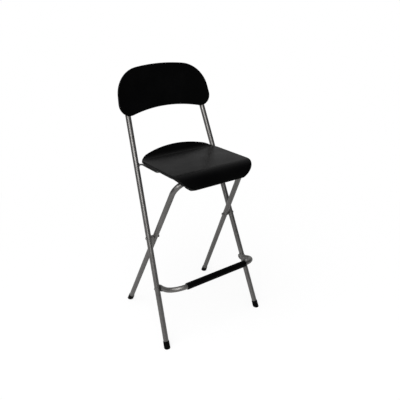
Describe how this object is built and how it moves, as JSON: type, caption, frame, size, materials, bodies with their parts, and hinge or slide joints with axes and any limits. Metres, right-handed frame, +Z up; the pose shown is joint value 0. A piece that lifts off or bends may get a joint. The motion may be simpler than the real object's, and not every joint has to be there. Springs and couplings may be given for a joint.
{
  "type": "folding_bar_stool",
  "caption": "Folding bar stool with silver painted steel tube frame, crossed legs, black moulded seat and backrest, and a footrest with a grip sleeve.",
  "frame": {"origin": "on the floor on the stool's middle plane, midway between the front and rear feet", "axes": "+X across the stool to the sitter's left, -Y the way the sitter faces, +Z up"},
  "size_m": [0.443, 0.3869, 0.9349],
  "materials": {
    "frame_paint": "satin silver-grey metallic powder coat on steel tube",
    "plated_steel": "zinc-plated steel",
    "black_plastic": "black moulded plastic, fine smooth grain",
    "sleeve_plastic": "black plastic sleeve, satin",
    "foot_rubber": "black soft plastic feet"
  },
  "bodies": {
    "uprights": {"left_upright": "frame_paint", "right_upright": "frame_paint", "backrest": "black_plastic", "backrest_screws": "plated_steel", "footrest_bar": "frame_paint", "footrest_sleeve": "sleeve_plastic", "footrest_rivets": "plated_steel", "left_front_foot": "foot_rubber", "right_front_foot": "foot_rubber", "pivot_bolts": "plated_steel", "pivot_nuts": "plated_steel", "pivot_washers": "plated_steel", "left_pivot_spacer": "frame_paint", "right_pivot_spacer": "frame_paint", "left_link_bush": "black_plastic", "right_link_bush": "black_plastic"},
    "rear_frame": {"rear_leg_frame": "frame_paint", "left_rear_foot": "foot_rubber", "right_rear_foot": "foot_rubber"},
    "seat": {"seat_shell": "black_plastic", "left_seat_clip": "black_plastic", "right_seat_clip": "black_plastic", "seat_clip_screws": "plated_steel", "left_link_saddle": "black_plastic", "right_link_saddle": "black_plastic", "link_saddle_screws": "plated_steel"},
    "link": {"link_wire": "plated_steel"}
  },
  "joints": [
    {"name": "fold", "type": "hinge", "parent": "uprights", "child": "rear_frame", "pos_m": [0, -0.02265, 0.3735], "axis": [-1, 0, 0], "range_deg": [0, 45]},
    {"name": "seat_hinge", "type": "hinge", "parent": "rear_frame", "child": "seat", "pos_m": [0, -0.14059, 0.608], "axis": [1, 0, 0], "range_deg": [0, 114.8]},
    {"name": "link_hinge", "type": "hinge", "parent": "seat", "child": "link", "pos_m": [0, -0.03651, 0.61851], "axis": [-1, 0, 0], "range_deg": [0, 163.6]}
  ],
  "couplings": [
    {"joint": "seat_hinge", "follows": "fold", "ratio": 2.5493},
    {"joint": "link_hinge", "follows": "fold", "ratio": 3.6352}
  ]
}
